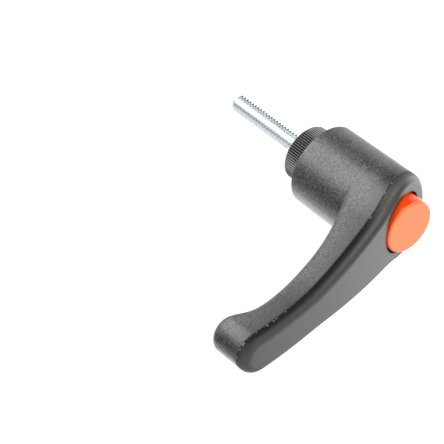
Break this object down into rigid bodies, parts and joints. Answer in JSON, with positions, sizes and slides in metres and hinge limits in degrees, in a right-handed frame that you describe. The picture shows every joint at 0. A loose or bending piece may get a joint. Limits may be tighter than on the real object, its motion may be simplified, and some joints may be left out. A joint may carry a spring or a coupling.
{
  "type": "adjustable clamping lever",
  "caption": "Adjustable clamping lever: hollow black handle lifts against a spring, turns, and re-meshes with a serrated insert on a threaded steel stud; orange push button on top.",
  "frame": {"origin": "centre of the clamping face of the steel disc, on the axis of the threaded stud", "axes": "+Z along the stud's axis, from the stud towards the push button; +X from the hub along the arm towards its tip"},
  "size_m": [0.0739, 0.0238, 0.0721],
  "materials": {
    "handle_plastic": "fine-grained black glass-filled plastic, smoother on the back",
    "button_plastic": "glossy orange plastic",
    "insert_plastic": "black plastic with fine straight serrations",
    "plated_steel": "bright zinc plating with a bluish tint",
    "screw_steel": "plain machined steel",
    "spring_steel": "drawn steel wire"
  },
  "bodies": {
    "stud_group": {"threaded_stud": "plated_steel", "serrated_insert": "insert_plastic", "retaining_screw": "screw_steel", "push_button": "button_plastic"},
    "spring_carrier": {"return_spring": "spring_steel"},
    "lever": {"lever_handle": "handle_plastic"}
  },
  "joints": [
    {"name": "lever_turn", "type": "hinge", "parent": "stud_group", "child": "spring_carrier", "pos_m": [0, 0, 0], "axis": [0, 0, 1], "continuous": true},
    {"name": "lever_lift", "type": "slide", "parent": "spring_carrier", "child": "lever", "axis": [0, 0, 1], "range_m": [0, 0.005], "stiffness_N_per_m": 800, "springref_m": -0.003, "deforming": ["return_spring"]}
  ]
}
